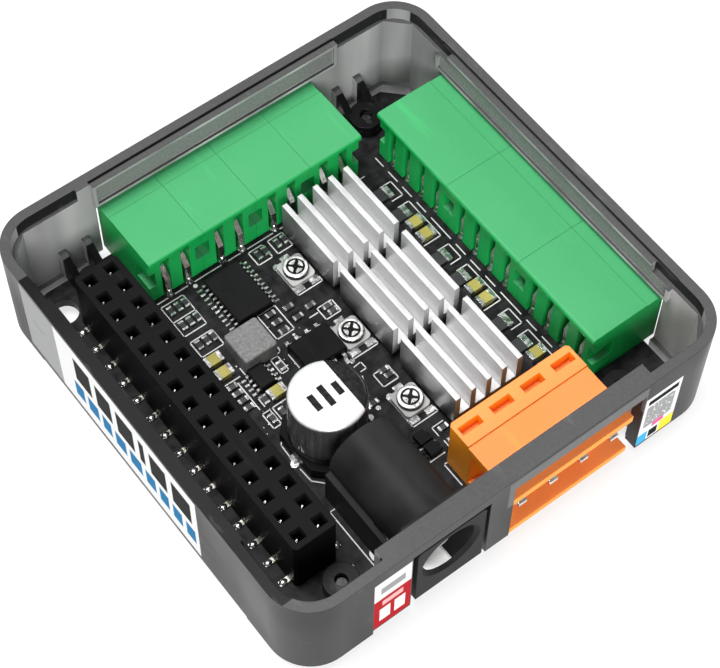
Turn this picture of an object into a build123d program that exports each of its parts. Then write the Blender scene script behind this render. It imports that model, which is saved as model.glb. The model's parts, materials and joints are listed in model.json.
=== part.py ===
"""Stackable stepper driver module: a square wall frame around one crowded board.

Millimetres, +Z up. The origin is the centre of the footprint, on the plane that the nesting
lips stand on. The power and jack openings face -Y, the small headers +Y, the large ones +X.
"""
import os

from build123d import *

os.makedirs("parts", exist_ok=True)

# ---------------------------------------------------------------- driving dimensions
SIDE = 54.0  # outer width and depth of the frame
CORNER_R = 4.9  # outer corner radius
WALL = 1.5
BEAM = 2.1  # wall thickness of the stiff beams between the corners
FOOT_Z = 1.3  # underside of the corner feet, above the tips of the nesting lips
SKIRT_Z = 2.1  # underside of the walls between the corners
RIM_Z = 14.5
INNER_CHAMFER = 2.3  # the inner corners are flats, not arcs
RABBET_DEPTH = 1.6
RABBET_LIP = 1.1
NEST_GAP = 0.05  # between a nesting lip and the rabbet of the module below
NEST_LIP = 0.9
CORNER_REACH = 16.5  # the lips and rabbets run from here out to the corners

BOARD = 48.6
BOARD_BOTTOM = 1.3
BOARD_TOP = 2.5
PIN_DEPTH = 2.0  # how far a soldered pin reaches below the board's top

BOSS_X = 18.0
BOSS_Y = 21.6
BOSS_R = 1.9
BOSS_TOP = 4.3
BOSS_BORE_R = 0.7
SCREW_R = 0.6
SCREW_SUNK = 0.8  # the screws end this far below the tops of the bosses

PITCH = 2.54
WINDOW_TOP = 10.9
RIM_GROOVE = (1.05, 1.4, 0.45)  # inner and outer offset from the wall's face, and depth
PANEL_DEPTH = 0.3  # the sunk panel on the inside of a beam
PANEL_BORDER = 0.4

HALF = SIDE / 2
INNER = HALF - WALL


# ---------------------------------------------------------------- helpers
def save(builder, name):
    """Label a finished piece and write it under its node name."""
    builder.part.label = name
    export_step(builder.part, f"parts/{name}.step")


def span(low, high, mode=Mode.ADD):
    """A box from one corner to the other, in the frame of the part being built."""
    size = [b - a for a, b in zip(low, high)]
    middle = [(a + b) / 2 for a, b in zip(low, high)]
    with Locations(tuple(middle)):
        Box(*size, mode=mode)


def tips(centre, count, pitch):
    """Places of a row of terminals, centred on one value."""
    return [centre + pitch * (k - (count - 1) / 2) for k in range(count)]


def seat(x, y, outward):
    """Plane on the board whose +Y points out towards the given wall."""
    along = {"back": (1, 0, 0), "right": (0, -1, 0), "front": (-1, 0, 0)}[outward]
    return Plane(origin=(x, y, BOARD_TOP), x_dir=along, z_dir=(0, 0, 1))


def profile_plane(base, along):
    """Upright plane across a seat at one place along its row: X is outward, Y is up."""
    return Plane(origin=base.from_local_coords((along, 0, 0)), x_dir=base.y_dir, z_dir=base.x_dir)


# ---------------------------------------------------------------- frame
JACK_X = -8.9
JACK_WINDOW = (-13.65, -4.27)
JACK_WINDOW_TOP = 12.95
POWER_WINDOW = (-1.25, 15.5)
POWER_WINDOW_TOP = 12.25
BACK_WINDOW = (-14.65, 13.35)
RIGHT_WINDOW = (-18.6, 17.8)
LABEL_T = 0.1
SIDE_LABEL = ((-10.6, 20.2), (2.3, 13.9))  # along Y, then Z
INPUT_LABEL = ((-18.2, -13.75), (2.3, 12.5))  # along X, then Z
SPEC_LABEL = ((15.65, 20.5), (1.6, 11.2))


def corner_zones(z_low, z_high, mode):
    """Four blocks that cover the corners only."""
    for sx in (-1, 1):
        for sy in (-1, 1):
            near = (sx * CORNER_REACH, sy * CORNER_REACH)
            far = (sx * (HALF + 1), sy * (HALF + 1))
            low = (min(near[0], far[0]), min(near[1], far[1]), z_low)
            high = (max(near[0], far[0]), max(near[1], far[1]), z_high)
            span(low, high, mode)


def ring(outer_half, outer_r, inner_half, inner_chamfer, z_low, z_high):
    """Square tube with round outer corners and flat inner ones."""
    with BuildPart() as tube:
        with BuildSketch(Plane.XY.offset(z_low)):
            RectangleRounded(2 * outer_half, 2 * outer_half, outer_r)
            with BuildSketch(mode=Mode.SUBTRACT) as hole:
                Rectangle(2 * inner_half, 2 * inner_half)
                chamfer(hole.vertices(), inner_chamfer)
        extrude(amount=z_high - z_low)
    return tube.part


def build_frame():
    nest_half = HALF - RABBET_LIP - NEST_GAP
    nest = ring(nest_half, CORNER_R - RABBET_LIP, nest_half - NEST_LIP, 2.0, 0, SKIRT_Z + 0.3)
    walls = ring(HALF, CORNER_R, INNER, INNER_CHAMFER, FOOT_Z, RIM_Z)
    with BuildPart() as corners:
        corner_zones(-1, RIM_Z, Mode.ADD)
    with BuildPart() as rabbet:
        with BuildSketch(Plane.XY.offset(RIM_Z - RABBET_DEPTH)):
            half = HALF - RABBET_LIP
            RectangleRounded(2 * half, 2 * half, CORNER_R - RABBET_LIP)
        extrude(amount=RABBET_DEPTH + 1)
        add(corners.part.moved(Location((0, 0, 2))), mode=Mode.INTERSECT)
    with BuildPart() as frame:
        add(walls)
        # stiff beams inside the walls that carry the headers' windows
        beam_low = WINDOW_TOP
        span((-14.9, HALF - BEAM, beam_low), (CORNER_REACH, INNER + 0.1, RIM_Z))
        span((HALF - BEAM, -19.4, beam_low), (INNER + 0.1, 18.4, RIM_Z))
        span((-CORNER_REACH, -INNER - 0.1, beam_low), (CORNER_REACH, -HALF + BEAM + 0.25, RIM_Z))
        # each header beam has a sunk panel inside and a groove along its rim
        inside = HALF - BEAM
        near, far, sunk = RIM_GROOVE
        panel_low = beam_low + PANEL_BORDER
        panel_high = RIM_Z - PANEL_BORDER
        back_low = (-14.9 + PANEL_BORDER, inside - 1, panel_low)
        span(back_low, (CORNER_REACH - PANEL_BORDER, inside + PANEL_DEPTH, panel_high), Mode.SUBTRACT)
        right_low = (inside - 1, -19.4 + PANEL_BORDER, panel_low)
        span(right_low, (inside + PANEL_DEPTH, 18.4 - PANEL_BORDER, panel_high), Mode.SUBTRACT)
        groove_z = RIM_Z - sunk
        span((-14.9, HALF - far, groove_z), (CORNER_REACH, HALF - near, RIM_Z + 1), Mode.SUBTRACT)
        span((HALF - far, -19.4, groove_z), (HALF - near, 18.4, RIM_Z + 1), Mode.SUBTRACT)
        # walls between the corners end higher than the feet
        reach = CORNER_REACH + 1.7
        span((-reach, -HALF - 1, 0), (15.6, -20, SKIRT_Z), Mode.SUBTRACT)
        span((-reach, 20, 0), (reach, HALF + 1, SKIRT_Z), Mode.SUBTRACT)
        span((20, -reach, 0), (HALF + 1, reach, SKIRT_Z), Mode.SUBTRACT)
        span((-HALF - 1, -reach, 0), (-20, reach, FOOT_Z + 0.3), Mode.SUBTRACT)
        # nesting lips around the corners
        with BuildPart(mode=Mode.PRIVATE) as lips:
            add(nest)
            add(corners.part, mode=Mode.INTERSECT)
        add(lips.part)
        add(rabbet.part, mode=Mode.SUBTRACT)
        # windows for the jack, the power header and the two rows of headers
        depth = HALF + 1
        span((JACK_WINDOW[0], -depth, 0), (JACK_WINDOW[1], -22, JACK_WINDOW_TOP), Mode.SUBTRACT)
        span((POWER_WINDOW[0], -depth, 0), (POWER_WINDOW[1], -22, POWER_WINDOW_TOP), Mode.SUBTRACT)
        span((BACK_WINDOW[0], 22, 0), (BACK_WINDOW[1], depth, WINDOW_TOP), Mode.SUBTRACT)
        span((22, RIGHT_WINDOW[0], 0), (depth, RIGHT_WINDOW[1], WINDOW_TOP), Mode.SUBTRACT)
        # screw bosses, each tied to its wall by two triangular ribs
        for sx in (-1, 1):
            for sy in (-1, 1):
                with BuildSketch(Plane.XY.offset(BOARD_TOP)):
                    with Locations((sx * BOSS_X, sy * BOSS_Y)):
                        Circle(BOSS_R)
                extrude(amount=BOSS_TOP - BOARD_TOP)
                for side in (-1.45, 1.45):
                    rib_x = sx * BOSS_X + side
                    with BuildSketch(Plane.YZ.offset(rib_x - 0.45)):
                        with BuildLine():
                            Polyline(
                                (sy * (BOSS_Y + 0.6), BOARD_TOP),
                                (sy * (INNER + 0.2), BOARD_TOP),
                                (sy * (INNER + 0.2), 6.3),
                                (sy * (INNER - 0.5), 6.3),
                                (sy * (BOSS_Y + 0.6), BOSS_TOP - 0.4),
                                close=True,
                            )
                        make_face()
                    extrude(amount=0.9)
        with BuildSketch(Plane.XY.offset(BOARD_TOP)):
            with GridLocations(2 * BOSS_X, 2 * BOSS_Y, 2, 2):
                Circle(BOSS_BORE_R)
        extrude(amount=BOSS_TOP, mode=Mode.SUBTRACT)
        # shallow seats that the three stickers lie in
        (y0, y1), (z0, z1) = SIDE_LABEL
        span((-depth, y0, z0), (-HALF + LABEL_T, y1, z1), Mode.SUBTRACT)
        for (x0, x1), (z0, z1) in (INPUT_LABEL, SPEC_LABEL):
            span((x0, -depth, z0), (x1, -HALF + LABEL_T, z1), Mode.SUBTRACT)
    save(frame, "frame")


def build_labels():
    (y0, y1), (z0, z1) = SIDE_LABEL
    with BuildPart() as side_label:
        span((-HALF, y0, z0), (-HALF + LABEL_T, y1, z1))
    save(side_label, "side_label")
    for name, ((x0, x1), (z0, z1)) in (("input_label", INPUT_LABEL), ("spec_label", SPEC_LABEL)):
        with BuildPart() as label:
            span((x0, -HALF, z0), (x1, -HALF + LABEL_T, z1))
        save(label, name)


def build_screws():
    """Pan-head screws that come up through the board into the bosses."""
    head_z = 0.45
    with BuildPart() as screws:
        with BuildSketch(Plane.XY.offset(head_z)):
            with GridLocations(2 * BOSS_X, 2 * BOSS_Y, 2, 2):
                Circle(1.55)
        extrude(amount=BOARD_BOTTOM - head_z)
        with BuildSketch(Plane.XY.offset(BOARD_BOTTOM)):
            with GridLocations(2 * BOSS_X, 2 * BOSS_Y, 2, 2):
                Circle(SCREW_R)
        extrude(amount=BOSS_TOP - SCREW_SUNK - BOARD_BOTTOM)
        with BuildSketch(Plane.XY.offset(head_z)):
            with GridLocations(2 * BOSS_X, 2 * BOSS_Y, 2, 2):
                Rectangle(1.7, 0.35)
                Rectangle(0.35, 1.7)
        extrude(amount=0.45, mode=Mode.SUBTRACT)
    save(screws, "board_screws")


# ---------------------------------------------------------------- placement of the big parts
SOCKET_COLUMNS = (-20.32, -17.78)
SOCKET_PINS = 15
SOCKET_X = (-21.6, -16.5)
SOCKET_Y = 19.05
SOCKET_TOP = 11.0
SOCKET_BOTTOM = 2.75
SOCKET_HOLE = 1.0

HEADER_TOP = 7.8  # above the board
HEADER_DEPTH = 9.6
HEADER_REAR = 16.1  # rear edge of a header's top, along X or Y
PIN_SIZE = 0.64
PIN_Z = 3.9
IO_FOOT = 0.6  # where a header's pins stand, behind its rear edge
MOTOR_FOOT = 1.2
IO_CENTRES = (-10.96, -4.08, 2.80, 9.68)
IO_LENGTH = 6.86
IO_PINS = 2
MOTOR_CENTRES = (11.56, -0.4, -12.36)
MOTOR_LENGTH = 11.94
MOTOR_PINS = 4
MOTOR_REAR = 16.3
MOTOR_DEPTH = 9.4

POWER_X = 6.45
POWER_LENGTH = 15.3
POWER_REAR = -16.8
POWER_DEPTH = 10.2
POWER_TOP = 7.6
POWER_PITCH = 3.96
POWER_PINS = 4
POWER_PIN = 1.0
POWER_PIN_Z = 4.1
POWER_PIN_FOOT = 1.4

JACK_AXIS = 6.0  # above the board
JACK_BORE_R = 3.15
JACK_FRONT = -HALF
JACK_REAR = -12.8
JACK_BORE_END = -17.0
JACK_HALF = 4.5
JACK_PLATE_HALF = 4.15
JACK_PIN_R = 1.0

HOLE_SQUARE = 0.5
HOLE_POWER = 0.75
HOLE_JACK = 1.35


# ---------------------------------------------------------------- board
JACK_LEGS = ((JACK_X, JACK_REAR + 0.25), (JACK_X, -18.9), (JACK_X - 3.55, -21.0))


def build_board():
    rise = BOARD_TOP - BOARD_BOTTOM
    with BuildPart() as pcb:
        with BuildSketch(Plane.XY.offset(BOARD_BOTTOM)) as outline:
            Rectangle(BOARD, BOARD)
            corner = outline.vertices().group_by(Axis.X)[-1].sort_by(Axis.Y)[-1]
            chamfer(corner, 2.3)
            square = [v for v in outline.vertices() if abs(v.X) > 24 and abs(v.Y) > 24]
            fillet(square, 2.0)
            with GridLocations(2 * BOSS_X, 2 * BOSS_Y, 2, 2):
                Circle(1.0, mode=Mode.SUBTRACT)
            with Locations((-22.35, 21.1)):
                Circle(1.5, mode=Mode.SUBTRACT)
            for centre in IO_CENTRES:
                for x in tips(centre, IO_PINS, PITCH):
                    with Locations((x, HEADER_REAR + IO_FOOT)):
                        Circle(HOLE_SQUARE, mode=Mode.SUBTRACT)
            for centre in MOTOR_CENTRES:
                for y in tips(centre, MOTOR_PINS, PITCH):
                    with Locations((MOTOR_REAR + MOTOR_FOOT, y)):
                        Circle(HOLE_SQUARE, mode=Mode.SUBTRACT)
            for x in tips(POWER_X, POWER_PINS, POWER_PITCH):
                with Locations((x, POWER_REAR - POWER_PIN_FOOT)):
                    Circle(HOLE_POWER, mode=Mode.SUBTRACT)
            with Locations(*JACK_LEGS):
                Circle(HOLE_JACK, mode=Mode.SUBTRACT)
        extrude(amount=rise)
    save(pcb, "pcb")


# ---------------------------------------------------------------- bus socket
def build_socket():
    middle = sum(SOCKET_COLUMNS) / 2
    with BuildPart() as housing:
        span((SOCKET_X[0], -SOCKET_Y, SOCKET_BOTTOM), (SOCKET_X[1], SOCKET_Y, SOCKET_TOP))
        chamfer(housing.edges().filter_by(Axis.Z), 0.35)
        for y in (-SOCKET_Y + 0.35, SOCKET_Y - 0.35):
            span((SOCKET_X[0] + 1, y - 0.2, BOARD_TOP), (SOCKET_X[1] - 1, y + 0.2, SOCKET_BOTTOM))
        with BuildSketch(Plane.XY.offset(SOCKET_BOTTOM)):
            with Locations((middle, 0)):
                with GridLocations(PITCH, PITCH, 2, SOCKET_PINS):
                    Rectangle(SOCKET_HOLE, SOCKET_HOLE)
        extrude(amount=SOCKET_TOP - SOCKET_BOTTOM, mode=Mode.SUBTRACT)
        with BuildSketch(Plane.XY.offset(SOCKET_TOP)):
            with Locations((middle, 0)):
                with GridLocations(PITCH, PITCH, 2, SOCKET_PINS):
                    Rectangle(1.3, 1.3)
        extrude(amount=-0.3, taper=26, mode=Mode.SUBTRACT)
    save(housing, "bus_socket_housing")

    strip = 0.2
    width = 0.6
    with BuildPart() as contacts:
        for y in tips(0, SOCKET_PINS, PITCH):
            for x, outer in zip(SOCKET_COLUMNS, (SOCKET_X[0] - 1.1, SOCKET_X[1] + 1.1)):
                wall_x = x - SOCKET_HOLE / 2
                span((wall_x, y - width / 2, BOARD_TOP), (wall_x + strip, y + width / 2, 9.9))
                low = min(outer, wall_x)
                high = max(outer, wall_x + strip)
                span((low, y - width / 2, BOARD_TOP), (high, y + width / 2, BOARD_TOP + strip))
    save(contacts, "bus_socket_contacts")


# ---------------------------------------------------------------- pluggable signal headers
def build_header(base, length, depth, pins, foot, name, pin_name):
    """Open-mouthed header; the base plane's origin is the rear edge's middle."""
    side_wall = 0.6
    mouth_back = 3.3
    mouth_low = 1.0
    mouth_high = 6.9
    half = length / 2
    with BuildPart(base) as housing:
        span((-half, 0.5, 0), (half, depth, HEADER_TOP - 0.9))
        span((-half, 0, HEADER_TOP - 0.9), (half, depth, HEADER_TOP))
        rear_top = [
            e
            for e in housing.edges().filter_by(lambda e: abs(e.length - length) < 0.01)
            if base.to_local_coords(e.center()).Y < 0.01
        ]
        fillet(rear_top, 0.3)
        # mouth, and the lowered strip above it
        span(
            (-half + side_wall, mouth_back, mouth_low),
            (half - side_wall, depth + 1, mouth_high),
            Mode.SUBTRACT,
        )
        span((-half, depth - 2.2, HEADER_TOP - 0.12), (half, depth + 1, HEADER_TOP + 1), Mode.SUBTRACT)
        # rear slots for the pins, square notches at the ends
        for u in tips(0, pins, PITCH):
            span((u - 0.55, -1, -1), (u + 0.55, foot + 1.15, HEADER_TOP - 1.5), Mode.SUBTRACT)
            hole = PIN_SIZE / 2 + 0.03
            span((u - hole, 0, PIN_Z - hole), (u + hole, mouth_back + 1, PIN_Z + hole), Mode.SUBTRACT)
        for sign in (-1, 1):
            low = min(sign * half, sign * (half - 0.85))
            span((low, -1, 2.6), (low + 0.85, 2.8, 5.0), Mode.SUBTRACT)
        # coding grooves that the plug's ribs run in
        for u in tips(0, pins, PITCH):
            span((u - 0.4, mouth_back + 1.5, mouth_high), (u + 0.4, depth + 1, mouth_high + 0.35), Mode.SUBTRACT)
    save(housing, name)

    r = PIN_SIZE / 2
    with BuildPart() as row:
        for u in tips(0, pins, PITCH):
            with BuildSketch(profile_plane(base, u - r)):
                with BuildLine():
                    Polyline(
                        (depth - 1.4, PIN_Z + r),
                        (depth - 1.0, PIN_Z + r - 0.2),
                        (depth - 1.0, PIN_Z - r + 0.2),
                        (depth - 1.4, PIN_Z - r),
                        (foot + 1.1, PIN_Z - r),
                        (foot + r, PIN_Z - 1.3),
                        (foot + r, -PIN_DEPTH),
                        (foot - r, -PIN_DEPTH),
                        (foot - r, PIN_Z - 1.1),
                        (foot + 0.7, PIN_Z + r),
                        close=True,
                    )
                make_face()
            extrude(amount=PIN_SIZE)
    save(row, pin_name)


def build_signal_headers():
    for k, centre in enumerate(IO_CENTRES, start=1):
        base = seat(centre, HEADER_REAR, "back")
        names = (f"io_header_housing_{k}", f"io_header_pins_{k}")
        build_header(base, IO_LENGTH, HEADER_DEPTH, IO_PINS, IO_FOOT, *names)
    for k, centre in enumerate(MOTOR_CENTRES, start=1):
        base = seat(MOTOR_REAR, centre, "right")
        names = (f"motor_header_housing_{k}", f"motor_header_pins_{k}")
        build_header(base, MOTOR_LENGTH, MOTOR_DEPTH, MOTOR_PINS, MOTOR_FOOT, *names)


# ---------------------------------------------------------------- power header
def build_power_header():
    base = seat(POWER_X, POWER_REAR, "front")
    half = POWER_LENGTH / 2
    step = 3.1  # the rear part of the top stands a little higher
    mouth_back = 3.6
    mouth_low = 0.9
    hole = POWER_PIN / 2 + 0.03
    with BuildPart(base) as housing:
        span((-half, 0, 0), (half, POWER_DEPTH, POWER_TOP))
        rear = [e for e in housing.edges() if base.to_local_coords(e.center()).Y < 0.01]
        chamfer(ShapeList(rear).filter_by(Axis.Z), 0.3)
        span((-half, step, POWER_TOP - 0.25), (half, POWER_DEPTH + 1, POWER_TOP + 1), Mode.SUBTRACT)
        # the mouth is open at both ends
        span((-half - 1, mouth_back, mouth_low), (half + 1, POWER_DEPTH + 1, 6.3), Mode.SUBTRACT)
        for u in tips(0, POWER_PINS, POWER_PITCH):
            span((u - 1.3, 0.85, POWER_TOP - 1.6), (u + 1.3, 1.85, POWER_TOP + 1), Mode.SUBTRACT)
            span((u - 0.8, -1, -1), (u + 0.8, 2.3, POWER_PIN_Z + 0.8), Mode.SUBTRACT)
            low = (u - hole, 0, POWER_PIN_Z - hole)
            span(low, (u + hole, mouth_back + 1, POWER_PIN_Z + hole), Mode.SUBTRACT)
        for u in tips(0, POWER_PINS - 1, POWER_PITCH):
            span((u - 0.25, mouth_back, mouth_low), (u + 0.25, POWER_DEPTH - 3.2, 2.2))
    save(housing, "power_header_housing")

    r = POWER_PIN / 2
    foot = POWER_PIN_FOOT
    with BuildPart() as pins:
        for u in tips(0, POWER_PINS, POWER_PITCH):
            with BuildSketch(profile_plane(base, u - r)):
                with BuildLine():
                    Polyline(
                        (POWER_DEPTH - 0.75, POWER_PIN_Z + r),
                        (POWER_DEPTH - 0.35, POWER_PIN_Z + r - 0.3),
                        (POWER_DEPTH - 0.35, POWER_PIN_Z - r + 0.3),
                        (POWER_DEPTH - 0.75, POWER_PIN_Z - r),
                        (foot + r, POWER_PIN_Z - r),
                        (foot + r, -PIN_DEPTH),
                        (foot - r, -PIN_DEPTH),
                        (foot - r, POWER_PIN_Z + r),
                        close=True,
                    )
                make_face()
            extrude(amount=POWER_PIN)
    save(pins, "power_header_pins")


# ---------------------------------------------------------------- power jack
def build_jack():
    axis_z = BOARD_TOP + JACK_AXIS
    bore_depth = JACK_BORE_END - JACK_FRONT
    plate_back = -23.7
    front = Plane(origin=(JACK_X, JACK_FRONT, axis_z), x_dir=(1, 0, 0), z_dir=(0, -1, 0))
    with BuildPart() as housing:
        low = (JACK_X - JACK_PLATE_HALF, JACK_FRONT, BOARD_TOP)
        span(low, (JACK_X + JACK_PLATE_HALF, plate_back, BOARD_TOP + 10.1))
        chamfer(housing.faces().sort_by(Axis.Z)[-1].edges().filter_by(Axis.Y), 0.4)
        low = (JACK_X - JACK_HALF, plate_back, BOARD_TOP)
        span(low, (JACK_X + JACK_HALF, JACK_REAR, BOARD_TOP + 5.0))
        with BuildSketch(front.offset(JACK_FRONT - plate_back)):
            Circle(3.95)
        extrude(amount=-(JACK_REAR - plate_back))
        with BuildSketch(front):
            Circle(JACK_BORE_R)
        extrude(amount=-bore_depth, mode=Mode.SUBTRACT)
        with BuildSketch(front):
            Circle(JACK_BORE_R + 0.45)
        extrude(amount=-0.45, taper=45, mode=Mode.SUBTRACT)
        with BuildSketch(front):
            Circle(0.55)
        extrude(amount=-(JACK_REAR - JACK_FRONT + 1), mode=Mode.SUBTRACT)
        # slits for the switch contact's leg and the sleeve spring's leg
        x, y = JACK_LEGS[1]
        span((x - 1.1, y - 0.35, BOARD_TOP - 1), (x + 1.1, y + 0.35, axis_z), Mode.SUBTRACT)
        x, y = JACK_LEGS[2]
        span((x - 0.35, y - 1.1, BOARD_TOP - 1), (x + 1.3, y + 1.1, axis_z), Mode.SUBTRACT)
    save(housing, "dc_jack_housing")

    leg_low = BOARD_TOP - PIN_DEPTH
    x, y = JACK_LEGS[0]
    with BuildPart() as centre_pin:
        with BuildSketch(front.offset(-bore_depth)):
            Circle(JACK_PIN_R)
        extrude(amount=bore_depth - 1.2)
        fillet(centre_pin.edges().sort_by(Axis.Y)[0], 0.5)
        with BuildSketch(front.offset(-bore_depth)):
            Circle(0.5)
        extrude(amount=-(JACK_REAR - JACK_BORE_END))
        span((x - 1.6, JACK_REAR, BOARD_TOP + 0.1), (x + 1.6, JACK_REAR + 0.5, axis_z + 1.2))
        span((x - 1.0, JACK_REAR, leg_low), (x + 1.0, JACK_REAR + 0.5, BOARD_TOP + 0.1))
    save(centre_pin, "dc_jack_centre_pin")

    x, y = JACK_LEGS[2]
    leaf = Plane(origin=(JACK_X, JACK_FRONT + 0.7, axis_z), x_dir=(1, 0, 0), z_dir=(0, -1, 0))
    with BuildPart() as spring:
        with BuildSketch(leaf):
            with BuildLine():
                outer = CenterArc((0, 0), JACK_BORE_R - 0.05, 105, 95)
                inner = CenterArc((0, 0), JACK_BORE_R - 0.3, 105, 95)
                Line(outer @ 0, inner @ 0)
                Line(outer @ 1, inner @ 1)
            make_face()
        extrude(amount=-7.5)
        top_z = axis_z - 0.3
        span((x + 0.45, y - 0.9, leg_low), (x + 0.68, y + 0.9, top_z))
    save(spring, "dc_jack_sleeve_spring")

    x, y = JACK_LEGS[1]
    floor_z = axis_z - JACK_BORE_R + 0.6
    with BuildPart() as contact:
        span((x - 0.9, y - 0.1, leg_low), (x + 0.9, y + 0.15, floor_z))
        span((x - 0.9, y - 5.0, floor_z - 0.25), (x + 0.9, y - 0.1, floor_z))
    save(contact, "dc_jack_switch_contact")


# ---------------------------------------------------------------- motor channels
SINK_X = 6.14
SINK_CENTRES = (10.6, 0.35, -9.9)
SINK_LENGTH = 9.0
SINK_BOTTOM = 3.4
SINK_BASE = 1.3
SINK_TOP = 8.2
FIN_PITCH = 2.02
FIN_T = 0.66
FIN_COUNT = 5
CHIP_TOP = 3.15
TRIMMER_X = 0.05
TRIMMER_CENTRES = (10.44, 0.68, -9.4)
TRIMMER_BASE = 0.65
ROTOR_R = 1.42


def build_channels():
    width = FIN_PITCH * (FIN_COUNT - 1) + FIN_T
    for k, y in enumerate(SINK_CENTRES, start=1):
        with BuildPart() as heatsink:
            low = (SINK_X - width / 2, y - SINK_LENGTH / 2, SINK_BOTTOM)
            span(low, (SINK_X + width / 2, y + SINK_LENGTH / 2, SINK_BOTTOM + SINK_BASE))
            with BuildSketch(Plane.XY.offset(SINK_BOTTOM + SINK_BASE)):
                with Locations((SINK_X, y)):
                    with GridLocations(FIN_PITCH, 1, FIN_COUNT, 1):
                        Rectangle(FIN_T, SINK_LENGTH)
            extrude(amount=SINK_TOP - SINK_BOTTOM - SINK_BASE)
            crests = heatsink.faces().group_by(Axis.Z)[-1].edges().filter_by(Axis.Y)
            fillet(crests, 0.12)
        save(heatsink, f"heatsink_{k}")

        with BuildPart() as pad:
            span((SINK_X - 3.6, y - 3.6, CHIP_TOP), (SINK_X + 3.6, y + 3.6, SINK_BOTTOM))
        save(pad, f"thermal_pad_{k}")

        with BuildPart() as chip:
            span((SINK_X - 2.5, y - 2.5, BOARD_TOP), (SINK_X + 2.5, y + 2.5, CHIP_TOP))
            chamfer(chip.edges().filter_by(Axis.Z).sort_by(Axis.X)[0], 0.3)
        save(chip, f"driver_chip_{k}")


def build_trimmers():
    base_top = BOARD_TOP + TRIMMER_BASE
    pad_h = 0.35
    for k, y in enumerate(TRIMMER_CENTRES, start=1):
        with BuildPart() as body:
            with BuildSketch(Plane.XY.offset(BOARD_TOP)):
                with Locations((TRIMMER_X, y)):
                    RectangleRounded(3.1, 3.3, 0.5)
            extrude(amount=TRIMMER_BASE)
            with BuildSketch(Plane.XY.offset(BOARD_TOP)):
                with Locations((TRIMMER_X, y)):
                    Circle(0.5)
            extrude(amount=TRIMMER_BASE, mode=Mode.SUBTRACT)
        save(body, f"trimmer_body_{k}")

        with BuildPart() as rotor:
            with BuildSketch(Plane.XY.offset(BOARD_TOP + 0.1)):
                with Locations((TRIMMER_X, y)):
                    Circle(0.45)
            extrude(amount=TRIMMER_BASE)
            with BuildSketch(Plane.XY.offset(base_top + 0.04)):
                with Locations((TRIMMER_X, y)):
                    Circle(ROTOR_R)
            extrude(amount=0.62)
            fillet(rotor.edges().group_by(Axis.Z)[-1], 0.15)
            # ring groove, cross slot and centre dimple
            with BuildSketch(Plane.XY.offset(base_top + 0.42)):
                with Locations((TRIMMER_X, y)):
                    Circle(1.02)
                    Circle(0.8, mode=Mode.SUBTRACT)
                    with PolarLocations(0, 2, start_angle=45, angular_range=180):
                        Rectangle(1.9, 0.34)
                    Circle(0.36)
            extrude(amount=1, mode=Mode.SUBTRACT)
        save(rotor, f"trimmer_rotor_{k}")

    with BuildPart() as terminals:
        for y in TRIMMER_CENTRES:
            for dx, dy in ((-1.0, -2.0), (1.0, -2.0), (0.0, 2.0)):
                x0 = TRIMMER_X + dx
                y0 = y + dy
                span((x0 - 0.55, y0 - 0.35, BOARD_TOP), (x0 + 0.55, y0 + 0.35, BOARD_TOP + pad_h))
    save(terminals, "trimmer_terminals")


# ---------------------------------------------------------------- reservoir capacitor
CAP_X = -9.1
CAP_Y = -7.5
CAP_R = 4.1
CAP_TOP = 11.4
CAP_BASE = 8.3


def build_capacitor():
    base_top = BOARD_TOP + 1.5
    with BuildPart() as base:
        with BuildSketch(Plane.XY.offset(BOARD_TOP)) as outline:
            with Locations((CAP_X, CAP_Y)):
                Rectangle(CAP_BASE, CAP_BASE)
            chamfer(outline.vertices().group_by(Axis.X)[0], 1.5)
        extrude(amount=base_top - BOARD_TOP)
        with BuildSketch(Plane.XY.offset(BOARD_TOP + 0.6)):
            with Locations((CAP_X, CAP_Y)):
                Circle(CAP_R - 0.05)
        extrude(amount=2, mode=Mode.SUBTRACT)
        # the two leads leave through grooves under the base
        span((CAP_X - 5, CAP_Y - 0.5, BOARD_TOP), (CAP_X + 5, CAP_Y + 0.5, BOARD_TOP + 0.3), Mode.SUBTRACT)
    save(base, "capacitor_base")

    with BuildPart() as leads:
        for sign in (-1, 1):
            ends = sorted((sign * 1.2, sign * (CAP_BASE / 2 + 0.5)))
            low = (CAP_X + ends[0], CAP_Y - 0.45, BOARD_TOP)
            span(low, (CAP_X + ends[1], CAP_Y + 0.45, BOARD_TOP + 0.25))
    save(leads, "capacitor_leads")

    seat_z = BOARD_TOP + 0.6
    groove_z = 4.8
    with BuildPart() as can:
        with BuildSketch(Plane.XZ.offset(-CAP_Y)):
            with BuildLine():
                Polyline(
                    (CAP_X, seat_z),
                    (CAP_X + CAP_R - 0.4, seat_z),
                    (CAP_X + CAP_R - 0.15, seat_z + 0.3),
                    (CAP_X + CAP_R - 0.15, groove_z - 0.5),
                    (CAP_X + CAP_R - 0.5, groove_z),
                    (CAP_X + CAP_R, groove_z + 0.5),
                    (CAP_X + CAP_R, CAP_TOP),
                    (CAP_X, CAP_TOP),
                    close=True,
                )
            make_face()
        revolve(axis=Axis((CAP_X, CAP_Y, 0), (0, 0, 1)))
        fillet(can.faces().sort_by(Axis.Z)[-1].edges(), 0.5)
    save(can, "capacitor_can")


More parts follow.
